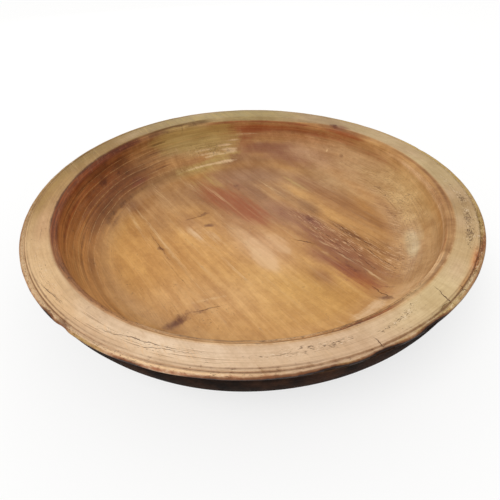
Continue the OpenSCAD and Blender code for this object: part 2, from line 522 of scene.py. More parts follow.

# Stains with ragged edges; the pale one also holds painted highlights, and the scorch painted shade. Each
# adds up its own patches, and the material sets its colour. The wall's rows lie on the rim and the outer
# edge too.
wallStains = {
    "umber": (
        (168, 98, 22, 12, 0.8), (150, 88, 14, 22, 0.9), (205, 100, 20, 5, 0.55), (196, 74, 26, 5, 0.55),
        (15, 128, 16, 6, 0.4), (225, 56, 30, 10, 0.6), (345, 62, 26, 5, 0.25), (287, 34.4, 22, 1.9, 0.9),
        (222, 40, 16, 4, 0.45), (292, 8.4, 16, 1.8, 0.9), (350, 54, 14, 5, 0.3), (182, 40, 40, 6, 0.35),
        (112, 62, 5, 8, 0.7), (352, 3, 36, 4, 0.8), (338, 6.4, 7, 1.7, 0.85), (338, 20, 7, 6, 0.3),
        (62, 35, 12, 2.5, 0.5),
    ),
    "russet": (
        (66, 55, 34, 6, 0.75), (45, 44, 10, 7, 0.85), (86, 58, 9, 7, 0.8), (324.5, 8.6, 4.2, 3.6, 0.7),
        (316, 9.4, 3.6, 2.4, 0.5), (331, 5, 5, 3, 0.85), (293, 36, 9, 2, 0.7), (300, 36.6, 5, 2.2, 0.7),
        (156, 44, 18, 8, 0.5), (185, 60, 26, 4, 0.6), (84, 43.5, 36, 2.2, 0.8), (248, 1.2, 34, 2.0, 0.85),
        (296, 2.8, 16, 1.6, 0.7), (355, 46, 22, 4, 0.3), (104, 51, 5, 5, 0.8), (99, 63, 5, 3, 0.75),
        (96, 73, 7, 2.6, 0.7), (348, 40, 12, 5, 0.35), (6, 40, 8, 5, 0.35), (22, 41, 7, 5, 0.4),
        (330, 43, 8, 3, 0.5), (335, 2, 12, 3, 0.6), (30, 62, 14, 7, 0.5), (92, 80, 8, 26, 0.5),
    ),
    "mauve": (
        (80, 92, 15, 19, 0.85), (70, 112, 14, 14, 0.5), (147, 99, 6, 9, 0.85), (50.6, 34, 4, 7, 1.0),
        (233.5, 0, 2.6, 4, 1.0), (118, 104, 8, 12, 0.45),
    ),
    "olive": (
        (122, 62, 15, 26, 5, 0.9), (103, 80, 11, 34, 5, 0.75), (100, 22, 50, 16, 0.5),
        (240, 1.0, 9, 2.4, 0.8), (284, 2.2, 4, 1.8, 0.9), (305, 3, 16, 4, 0.5), (10, 3, 50, 5, 0.85),
        (337, 6.4, 8, 2.4, 0.9),
    ),
    # worn pale wood, with painted highlights: the thin line low on the back-left wall, and in part the
    # pale lines along the front lip's edges
    "pale": (
        (112, 87, 5, 1.8, 0.9), (109, 95, 7, 3, 0.75), (101, 83, 3.6, 1.8, 1.0), (99, 91, 4.5, 2.2, 1.0),
        (104, 99, 5, 1.8, 0.7), (110, 101, 3, 2.4, 0.7), (97, 76, 3, 1.6, 0.9), (90, 66, 6, 1.6, 0.6),
        (113, 117, 16, 3.4, 0.75), (101, 114.5, 5, 2.4, 0.95), (98.5, 94, 3.4, 4.5, 0.9),
        (126, 78, 5, 12, 0.45), (309, 111, 9, 9, 0.8), (270, 33.4, 50, 1.2, 0.9),
        (298, 43.5, 26, 1.6, 1.0), (305, 44.5, 7, 2.4, 0.8),
    ),
    # dark under the lip and down the left wall: partly stain, partly painted shade where that wall faces
    # away from the light
    "scorch": (
        (176, 53, 42, 3, 0.6), (160, 50, 14, 12, 0.55), (200, 88, 24, 2.4, 0.6), (150, 68, 6, 16, 0.55),
        (190, 59, 30, 2.4, 0.6), (180, 71, 26, 1.8, 0.4), (118, 43, 16, 2.2, 0.4), (112, 39, 6, 3.4, 0.9),
        (131, 40, 7, 4, 0.85), (140, 86, 8, 4, 0.5), (122, 34.8, 15, 1.6, 0.8),
        (172, 34.4, 44, 1.3, 0.85), (222, 44, 24, 3, 0.4), (175, 110, 14, 2.4, 0.45),
        (131, 57, 6, 1.8, 0.8), (134, 69, 7, 1.8, 0.8), (128, 84, 5, 1.6, 0.6), (134, 95, 8, 2, 0.7),
        (123, 50, 6, 1.6, 0.4), (117, 74, 4, 1.6, 0.5), (262, 43, 24, 1.2, 0.45),
        (290, 34.6, 12, 1.3, 0.6), (296, 37.6, 6, 0.9, 0.7), (270, 34.2, 14, 0.9, 0.6),
        (310, 43.5, 24, 1.2, 0.35), (152, 112, 10, 5, 0.5),
    ),
    "checks": (
        (250, 22, 13, 7, 0.36), (274, 21.5, 6, 2.6, 0.75), (284, 23.5, 4, 2.2, 0.85),
        (279, 26, 5, 1.6, 0.7), (300, 22.5, 3.6, 2.4, 0.85), (303, 27, 3, 1.6, 0.7),
        (295, 20, 3, 1.6, 0.7), (341, 20, 5, 5, 1.0), (333, 19, 4, 4, 0.9), (350, 19, 4, 6, 0.85),
        (358, 22, 5, 3, 0.6), (217, 20, 12, 7, 0.35), (8, 92, 16, 20, 0.45), (350, 8, 24, 5, 0.5),
        (235, 39, 40, 4, 0.7), (290, 39, 30, 4, 0.9), (325, 5, 20, 4, 0.8), (262, 4, 60, 5, 0.35),
        (165, 80, 30, 40, 0.4), (200, 3, 60, 4, 0.5), (110, 90, 16, 14, 0.6),
    ),
    "scratched": (
        (355, 110, 26, 26, 0.5), (14, 86, 30, 34, 0.42), (60, 100, 24, 24, 0.25), (242, 19, 26, 11, 1.0),
        (350, 46, 26, 9, 0.4), (285, 20, 12, 8, 0.4),
    ),
    "ringed": (
        (182, 76, 48, 44, 5, 1.0), (140, 74, 22, 40, 5, 0.85), (270, 40, 60, 7, 4, 0.5),
        (96, 60, 30, 26, 3, 0.4), (60, 60, 30, 16, 3, 0.5), (232, 70, 22, 26, 3, 0.7),
        (10, 55, 40, 12, 3, 0.4),
    ),
}
floorStains = {
    "umber": (
        (96, 120, 42, 14, 0.6), (138, 70, 50, 17, 0.7), (176, 12, 40, 9, 0.8), (-128, -32, 44, 4, 0.7),
        (-100, 40, 34, 10, -20, 0.45), (160, -45, 60, 9, 0.75), (132, -5, 50, 7, 0.7),
        (-95, -70, 50, 5, 0.5), (30, 120, 70, 7, 0.45), (-60, 60, 60, 6, 0.4),
    ),
    "russet": (
        (-34, 78, 62, 30, grainTurn, 2, 0.72), (4, 47, 44, 19, grainTurn, 1.8, 0.84),
        (-68, 104, 40, 18, 0.55), (122, -98, 56, 14, 0.95), (60, -20, 60, 7, 0.4),
    ),
    "mauve": (
        (100, -34, 98, 26, 0.7), (112, -86, 52, 14, 0.7), (-76, -160, 34, 12, 48, 0.6),
        (86, 20, 26, 10, 0.8), (-22, 116, 18, 12, 0.5), (52, 48, 44, 18, 0.4),
    ),
    "olive": (
        (-62, 136, 40, 9, -50, 0.6), (-92, 178, 50, 11, 28, 0.75), (-95, 128, 30, 7, 0.4),
        (70, 130, 60, 10, 0.35),
    ),
    "pale": (
        (-78, -8, 36, 12, -30, 0.55), (128, 118, 40, 12, 0.35),
    ),
    "checks": (
        (-60, -160, 60, 20, 20, 0.3), (-135, -110, 60, 34, -60, 0.2),
    ),
    "scratched": (
        (122, -30, 90, 30, 0.8), (165, -50, 60, 20, 0.9), (75, 30, 40, 18, 0.5), (-105, 20, 90, 26, 0.2),
        (-100, -150, 60, 26, 30, 0.4),
    ),
}
stains = {}
for name, rows in wallStains.items():
    left = np.ones(len(points))
    for *where, amount in rows:
        left = left * (1 - wallPatch(*where) * amount)
    for *where, amount in floorStains.get(name, ()):
        left = left * (1 - floorPatch(*where) * amount)
    stains[name] = 1 - left

# The bowl's outer edge: what hands, grime and shelves have done to it, with painted shade in the groove
# and under the bead. Places are profile lengths.
edgeWear = {
    # dark lines of grime and painted shade: middle, half-width and strength
    "groove": (7.2, 1.0, 1.0),
    "secondLine": (11.0, 0.7, 0.9),   # beside it, and fading to nothing at the back
    "secondTurn": 245.0,
    "underBead": (1.0, 1.2, 1.1),     # follows the edge of the smoked outside
    # what shows everywhere, what waves round the bowl add, and the waves
    "grimeWaves": (0.9, 0.3, (8, 9, 50, 31)),
    "beadWaves": (0.8, 0.3, (8, 11, 50, 33)),
    "bead": (-3.8, 3.4, 0.8),         # where the browned bead starts and ends, and how softly
    "cleaned": 0.75,          # share of the brown taken off the bead in front: rubbed off, and partly a painted highlight on its top
    "cleanTurn": 250.0,
    "cleanWidth": 0.4,
    "handles": (5, 95, 178, 262),     # turns at which hands lift the bowl
    "handleWidth": 0.5,
    "held": (-8.0, 9.0),      # where they hold it: middle and half-width
    "heldShare": (0.25, 0.6),         # how rubbed it is all round, and what each hand adds
    "footRub": (3.0, 5.0, 0.9),       # the rubbed band past the foot's edge: middle, half-width, share
}


def bell(middle, half, power=2):
    # One at a profile length, falling to nothing on both sides
    return np.exp(-np.abs((p - middle) / half) ** power)


def comesAndGoes(mask, always, now, wave):
    # A mask times its usual share plus waves round the bowl
    return mask * (always + now * waves(turns, 0, *wave))


def edgeMasks(w):
    # Bells along the section, stronger and weaker round the bowl by waves and by bells of their own
    lines = 0.5 + 0.5 * np.cos(angleTo(turns, w["secondTurn"]))
    grime = 0
    for name, start, share in (("groove", 0, 1), ("secondLine", 0, lines), ("underBead", darkEnd, 1)):
        middle, half, strength = w[name]
        grime = grime + strength * share * bell(start + middle, half)
    start, end, soft = w["bead"]
    cleaned = 1 - w["cleaned"] * np.exp(-(angleTo(turns, w["cleanTurn"]) / w["cleanWidth"]) ** 2)
    bead = past(start, soft) * before(end, soft) * cleaned
    handled = sum(np.exp(-(angleTo(turns, turn) / w["handleWidth"]) ** 2) for turn in w["handles"])
    allRound, byHand = w["heldShare"]
    middle, half, share = w["footRub"]
    rubbed = bell(*w["held"]) * (allRound + byHand * handled) + share * bell(footEdge + middle, half, 3)
    return comesAndGoes(grime, *w["grimeWaves"]), comesAndGoes(bead, *w["beadWaves"]), rubbed


footEdge = ends["foot"] - rimStart
grime, bead, rubbed = edgeMasks(edgeWear)

# The mesh carries the tone and the masks, three to a colour attribute
channels = {
    "stainsWarm": ("umber", "russet", "mauve"),
    "stainsCool": ("olive", "pale", "scorch"),
    "detail": ("checks", "scratched", "ringed"),
    "wear": ("outside", "grime", "bead"),
}
masks = {**stains, "outside": zones["outside"], "grime": grime, "bead": bead}
attributes = bowl.data.attributes
colours = {name: np.stack([masks[key] for key in keys], 1) for name, keys in channels.items()}
for name, values in {"tone": tone, **colours}.items():
    full = np.concatenate([values, np.ones((len(points), 1))], 1).astype(np.float32)
    attributes.new(name, "FLOAT_COLOR", "POINT").data.foreach_set("color", full.ravel())
for name, values in {"profile": p, "rimShare": zones["rim"], "rubbed": rubbed}.items():
    attributes.new(name, "FLOAT", "POINT").data.foreach_set("value", values.astype(np.float32))
print("colour laid on")


# Nodes that need a setting, by what they do: the kind of node and its settings
work = {
    "times": ("Math", {"operation": "MULTIPLY"}),
    "timesPlus": ("Math", {"operation": "MULTIPLY_ADD"}),  # first times second, plus the third
    "plus": ("Math", {"operation": "ADD"}),
    "minus": ("Math", {"operation": "SUBTRACT"}),
    "larger": ("Math", {"operation": "MAXIMUM"}),
    "timesUpToOne": ("Math", {"operation": "MULTIPLY", "use_clamp": True}),
    "shift": ("VectorMath", {"operation": "MULTIPLY_ADD"}),
    "ease": ("MapRange", {"interpolation_type": "SMOOTHSTEP"}),  # value, from, to, least, most
    "mixColour": ("Mix", {"data_type": "RGBA"}),
    "multiplyColour": ("Mix", {"data_type": "RGBA", "blend_type": "MULTIPLY"}),
    "putAround": ("Mapping", {"vector_type": "TEXTURE"}),
    "ball": ("TexGradient", {"gradient_type": "SPHERICAL"}),
}


def addNode(tree, does, *values, **settings):
    # One node with its settings, and its inputs in order or in one dictionary by socket. An input is
    # a plain value, another node's socket, or another node, which gives its first output.
    kind, usual = work.get(does, (does, {}))
    made = tree.nodes.new("ShaderNode" + kind)
    for key, value in {**usual, **settings}.items():
        setattr(made, key, value)
    bySocket = len(values) == 1 and isinstance(values[0], dict)
    inputs = values[0] if bySocket else dict(enumerate(values))
    for key, value in inputs.items():
        if isinstance(value, bpy.types.Node):
            value = value.outputs[0]
        if isinstance(value, bpy.types.NodeSocket):
            tree.links.new(value, made.inputs[key])
        else:
            made.inputs[key].default_value = value
    return made


# Old turned hardwood, waxed and handled: satin where hands and dough polished it, dry and porous on
# the rim. Two numbers in a row are where a pattern or a profile length starts and stops to count.
wood = {
    "grainRise": 3.0,         # degrees by which the grain climbs out of the slab
    "roughness": (0.3, 0.7, 0.30, 0.42),      # waxed: from, to, its smoothest streaks and its driest
    "rimRoughness": 0.56,
    "gleam": 0.42,
    "ior": 1.5,
    "bump": (0.5, 0.4),       # strength, and height in millimetres
    # Each pattern: the axes that it follows, its sizes along them in millimetres, detail, roughness.
    # Pores, scratches and the fine tool lines are two or three times as coarse as the real ones, or
    # they wouldn't show.
    "patterns": {
        "broad": ("grain", (230, 24, 40), 3, 0.5),
        "bands": ("grain", (260, 12, 40), 2, 0.4),
        "streak": ("grain", (110, 7, 14), 4, 0.6),
        "thread": ("grain", (60, 1.6, 3), 3, 0.6),
        "strokes": ("grain", (46, 10, 14), 3, 0.45),
        "paleLine": ("grain", (150, 8, 20), 4, 0.6),
        "needle": ("grain", (34, 0.8, 2), 2, 0.5),
        "splinter": ("grain", (13, 1.5, 4), 3, 0.6),
        "blotch": ("place", (34, 34, 34), 4, 0.6),
        "mottle": ("place", (7, 7, 7), 4, 0.65),
        "drift": ("place", (120, 120, 120), 2, 0.5),
        "toolBroad": ("turned", (6, 150, 150), 4, 0.6),
        "toolFine": ("turned", (1.7, 70, 70), 3, 0.6),
        "lipLine": ("turned", (1.3, 34, 34), 3, 0.6),
        "hairline": ("turned", (0.9, 55, 55), 2, 0.5),
        "dashes": ("turned", (0.6, 3.2, 3.2), 2, 0.5),
    },
    # how each pattern tints the wood: from, to, tint at its dark end, tint at its bright end
    "tints": {
        "broad": (0.34, 0.66, (0.91, 0.87, 0.82), (1.05, 1.06, 1.07)),
        "streak": (0.34, 0.66, (0.95, 0.925, 0.89), (1.03, 1.03, 1.02)),
        "bands": (0.47, 0.53, (0.97, 0.95, 0.93), (1.02, 1.02, 1.02)),
        "thread": (0.3, 0.7, (0.96, 0.95, 0.93), (1.03, 1.03, 1.03)),
        "blotch": (0.35, 0.65, (0.90, 0.86, 0.82), (1.05, 1.06, 1.08)),
        "mottle": (0.35, 0.65, (0.92, 0.89, 0.86), (1.06, 1.06, 1.07)),
        "strokes": (0.47, 0.53, (0.955, 0.93, 0.90), (1.03, 1.035, 1.045)),
        "toolBroad": (0.36, 0.64, (0.70, 0.63, 0.56), (1.16, 1.14, 1.12)),
        "toolFine": (0.34, 0.66, (0.80, 0.76, 0.71), (1.14, 1.14, 1.13)),
        "lipLine": (0.36, 0.62, (0.62, 0.55, 0.48), (1.2, 1.16, 1.1)),
    },
    # Profile lengths between which each part comes in or fades, some with their least and most
    "insideFrom": (33.8, 34.8),
    "wallUpTo": (145.0, 100.0),
    "finelyTurnedUpTo": (120.0, 90.0, 0.15, 0.8),
    "lipUpTo": (50.0, 44.0),
    "floorFrom": (112.0, 145.0),
    "dryUpTo": (52.0, 44.0),
    "smokeUpTo": (3.5, 6.5, 0.0, -0.95),
    # The same for a mask or a pattern: from, to, least, most
    "rimFigure": (0.0, 1.0, 1.0, 0.3),        # the figure is weaker on the rim
    "offRings": (0.0, 1.0, 0.45, 1.0),        # fine lines are weaker where no rings show
    "lipLines": (0.0, 0.6, 0.3, 0.9),
    "ringBreaks": (0.4, 0.6, 0.25, 0.9),
    "stainEdge": (0.22, 0.95),
    "paleLines": (0.54, 0.70, 0.0, 0.16),
    "checks": (0.925, 1.03, 0.0, 0.8),
    "flecks": (0.80, 0.70),
    "fleckShare": (0.0, 0.6, 0.08, 0.5),
    "browned": (0.05, 0.35, 0.0, 0.8),
    "smoked": (0.25, 0.8),
    # Strengths with which patterns are added up
    "raggedFine": {"thread": 0.35, "mottle": 0.35},
    "stainBreaks": {"ragged": 1.5},
    "stainMiddle": 0.85,
    "smokeBreaks": {"mottle": 1.1},
    "turnedEdges": 0.6,       # share of the stains' edges on the wall that follows the turning
    "toolShare": (0.75, 0.10),        # broad tool lines: where rings show, and all over the wall
    "checkLevel": {"checks": 0.26, "mottle": 0.42},
    "fleckLevel": {"mottle": 0.8},
    "raised": {"thread": 0.5, "mottle": 0.4, "cracks": -3.0, "checks": -1.2},
    # stains, the pale one partly painted highlight and the scorch partly painted shade: colour and
    # strength
    "stains": {
        "umber": ("#7f4d24", 0.62), "russet": ("#95461c", 0.75), "mauve": ("#804732", 0.66),
        "olive": ("#b89c5a", 0.75), "pale": ("#e2c096", 0.75), "scorch": ("#522408", 0.7),
    },
    # thin lines where a pattern peaks: from, to, then the scratched mask's from, to, least and most
    "lines": {
        "hairline": (0.57, 0.66, 0.1, 0.9, 0.0, 0.62, "#79502e"),
        "needle": (0.54, 0.66, 0.1, 0.9, 0.04, 0.7, "#633619"),
        "splinter": (0.55, 0.64, 0.25, 0.9, 0.0, 0.6, "#dcb387"),
    },
    # wear of the edge, with grime and painted shade in the groove: what breaks it, its levels and its
    # colour
    "edges": {
        "bead": ({"toolFine": 0.6, "blotch": 0.9}, (0.1, 1.0, 0.0, 0.85), "#8f5a26"),
        "grime": ({"mottle": 0.8}, (0.2, 1.0, 0.0, 0.75), "#6b3f1f"),
    },
    # light lines that the tool left on the left wall: profile length, half-width
    "ringLines": ((55.0, 0.5), (64.5, 0.8), (77.0, 0.4), (84.0, 0.8), (96.5, 0.5), (104.0, 0.6)),
    "ringSpan": (52.0, 122.0),
    "ringDrift": 14.0,        # how far they wander
    "colours": {
        "ringLine": "#d6a870", "paleLine": "#d9b27c", "check": "#5c4026", "fleck": "#ecd6b8",
        "browned": "#74401c", "smoked": "#26140b",
    },
    # kinds of mark: how much wider than its size, how soft its edge is from nothing to one, the
    # pattern that breaks it and by how much, from, to, strength and colour
    "marks": {
        # painted sheen: a reflection of the light painted pale on the floor
        "polished": (1.25, 0.4, "streak", 1.1, 0.05, 0.9, 0.62, "#e0b98c"),
        "silky": (1.5, 1.0, "thread", 1.2, 0.05, 0.9, 0.75, "#dfbb89"),
        "knots": (1.4, 1.0, "mottle", 1.3, 0.05, 0.8, 0.72, "#5c2a17"),
        "cracks": (1.5, 1.0, "mottle", 0.6, 0.04, 0.5, 0.9, "#4a230c"),
    },
    "bend": 5.0,              # how far noise bends the marks, and how fine that noise is
    "bendScale": 120.0,
    "markDepth": 20.0,        # marks reach this far down, but a short one only
    "depthToLength": 1.6,     # this many times its half-length
    # every mark: centre x, y and z, half-length, half-width, turn, strength
    "cracks": (
        (168.5, -201, 92, 11.5, 0.35, -72, 0.9), (189, -193.5, 92, 4.6, 0.35, -62, 0.9),
        (98, -247.5, 92, 6.5, 0.35, -55, 0.8), (-116.8, 209.5, 88, 6.0, 0.35, -70, 0.9),
        (148, -136, 25, 16, 0.5, -66, 0.7), (160, -128, 25, 9, 0.4, -30, 0.5),
        (-50, -148, 20, 20, 0.5, 16, 0.45), (-84, 33, 20, 15, 0.5, 22, 0.6),
        (141, -18, 20, 48, 0.38, -55, 0.6), (72, -30, 20, 18, 0.6, -24, 0.6),
        (124, -2, 20, 34, 0.38, -60, 0.4), (158, -62, 20, 34, 0.5, -62, 0.45),
        (100, -12, 20, 26, 0.5, -50, 0.45), (-128, -30, 20, 36, 0.5, -57, 0.4),
        (-30, -2, 20, 60, 0.5, -54, 0.25), (118, -60, 20, 40, 0.5, -52, 0.4),
        (-92, -92, 20, 40, 0.5, -55, 0.25), (134, -46, 20, 24, 0.5, -66, 0.45),
        (148, -84, 20, 20, 0.5, -60, 0.45), (112, -34, 20, 22, 0.5, -48, 0.4),
        (172, -84, 22, 18, 0.5, -66, 0.4), (96, 40, 20, 20, 0.5, -58, 0.35),
        (-188.5, -182, 92, 22, 0.35, -41, 0.5), (-95.5, -236.4, 92, 40, 0.35, -18, 0.5),
        (-70, -247, 92, 34, 0.35, -11, 0.45), (-180, -188, 92, 16, 0.3, -40, 0.4),
        (-236, -92, 92, 20, 0.3, -72, 0.3), (205, 145, 70, 14, 0.4, -48, 0.3),
    ),
    "silky": (
        (-120, -28, 22, 110, 2.6, -56, 0.62), (-128, -40, 22, 70, 5, -56, 0.25),
        (-10, -24, 20, 84, 2.8, -58, 0.5), (-25, -78, 20, 56, 2.4, -56, 0.5),
        (102, -38, 20, 14, 1.8, -44, 0.55), (148, -101, 22, 16, 1.8, -56, 0.65),
        (113, -7, 20, 12, 1.8, -52, 0.5), (112, -46, 20, 8, 2.0, -40, 0.5),
        (98, -56, 20, 7, 2.6, -50, 0.45), (136, -76, 20, 10, 1.4, -54, 0.5),
        (-145, 95, 24, 50, 5.0, -56, 0.4), (-102, 124, 24, 34, 4.5, -52, 0.42),
        (-62, 104, 22, 40, 5.0, -50, 0.4), (120, -66, 20, 12, 1.6, -50, 0.5),
        (92, -20, 20, 10, 1.8, -46, 0.45), (30, 118, 20, 60, 2.6, -52, 0.4),
        (-104, 172, 42, 26, 4.4, 27, 0.95), (-58, 192, 46, 30, 3.0, 14, 0.8),
        (-140, 158, 44, 20, 2.0, 40, 0.5), (138, 183, 50, 2.2, 1.4, 0, 1.3),
        (-50, -133, 20, 30, 2.2, 14, 0.45), (165, -88, 24, 20, 1.4, -60, 0.5),
        (60, 100, 20, 50, 2.2, -54, 0.4), (-170, 20, 26, 50, 2.4, -60, 0.5),
    ),
    # where the wax has been polished pale
    # painted sheen: reflections of the light, painted pale on the floor's wax
    "polished": (
        (16, -62, 20, 30, 14, -59, 0.72), (10, -44, 20, 38, 16, -57, 0.5),
        (-12, -14, 20, 40, 16, -56, 0.35), (42, -44, 20, 15, 9, -50, 0.45),
        (34, -28, 20, 22, 13, -50, 0.4), (-70, -10, 20, 36, 16, -46, 0.2),
    ),
    "knots": (
        (-61, 14, 20, 8.5, 5.0, 10, 0.95), (-73, 40, 20, 9.0, 4.5, 30, 0.6),
        (-93, 28, 20, 5.0, 3.0, 30, 0.5), (-84, -168, 22, 22, 7.0, 48, 0.85),
        (-58, -152, 20, 16, 4.0, 24, 0.45), (148, -146, 28, 11, 5.0, -40, 0.85),
        (89, 22, 20, 10, 5.0, -50, 0.6), (158.5, 162, 52, 5.0, 3.5, -45, 0.8),
        (157, 129, 40, 4.0, 3.0, 0, 0.5), (-123, -38, 20, 8.0, 4.5, -40, 0.7),
        (-22, 120, 20, 8.0, 5.0, -70, 0.5), (-163, -220, 90, 9.0, 5.0, -36, 1.0),
        (148, 196, 88, 8.0, 4.0, -40, 0.9), (246, -85, 92, 4.0, 3.0, -70, 0.6),
        (-193, 59, 32, 7.0, 4.0, 74, 0.8), (-186, 52, 30, 5.0, 3.0, 74, 0.6),
        (-222, 72, 62, 9.0, 3.5, 72, 0.8), (-198, 20, 32, 26, 4.0, 84, 0.5),
        (-210, 104, 56, 8.0, 4.0, 64, 0.7), (125, -86, 20, 20, 6.0, -54, 0.5),
    ),
}


def woodTools(tree, w):
    # What both materials are made with: adding a node, the patterns, and laying colour by them
    add = partial(addNode, tree)
    place = add("TexCoord").outputs["Object"]
    profile = add("Attribute", attribute_name="profile").outputs["Fac"]
    # Along the section and round the bowl: profile length in metres, with x and y
    flat = add("SeparateXYZ", place)
    turned = add("CombineXYZ", add("times", profile, metre), flat.outputs[0], flat.outputs[1])
    # The slab's own axes: along the grain, across it, and up through the rings
    back = (0, math.radians(w["grainRise"]), math.radians(-grainTurn))
    axes = {
        "place": place,
        "turned": turned,
        "grain": add("Mapping", {"Vector": place, "Rotation": back}),
    }
    pattern = {}
    for name, (way, sizes, detail, rough) in w["patterns"].items():
        scale = tuple(1 / (size * metre) for size in sizes)
        at = add("Mapping", {"Vector": axes[way], "Scale": scale})
        pattern[name] = add("TexNoise", {
            "Vector": at, "Scale": 1.0, "Detail": detail, "Roughness": rough})

    def over(under, amount, code):
        # Lay a flat colour over another by an amount
        return add("mixColour", {0: amount, 6: under, 7: (*linear(code), 1)}).outputs[2]

    def grained(under, name, amount=1.0, rise="MapRange"):
        # Multiply by a tint that goes from dark to bright as the pattern does
        low, high, dark, bright = w["tints"][name]
        level = add(rise, pattern[name], low, high)
        between = add("mixColour", {0: level, 6: (*dark, 1), 7: (*bright, 1)}).outputs[2]
        return add("multiplyColour", {0: amount, 6: under, 7: between}).outputs[2]

    def summed(under, shares, parts=pattern):
        # Something plus each of the parts times its share
        for name, share in shares.items():
            under = add("timesPlus", parts[name], share, under)
        return under

    def broken(mask, shares, middle=0.5):
        # A mask with a ragged edge: each pattern less its middle, times its share, added to it
        return summed(mask, shares, {name: add("minus", pattern[name], middle) for name in shares})

    return add, over, grained, summed, broken, pattern, place, profile


def emptyMaterial(name):
    # A material with no nodes yet
    material = bpy.data.materials.new(name)
    material.use_nodes = True
    material.node_tree.nodes.clear()
    return material


def finish(add, w, colour, roughness, height):
    # The shader and the output, with the height as fine relief
    strength, distance = w["bump"]
    bump = add("Bump", {"Strength": strength, "Distance": distance * metre, "Height": height})
    add("OutputMaterial", add("BsdfPrincipled", {
        "Base Color": colour, "Roughness": roughness, "IOR": w["ior"], "Normal": bump,
        "Specular IOR Level": w["gleam"]}))


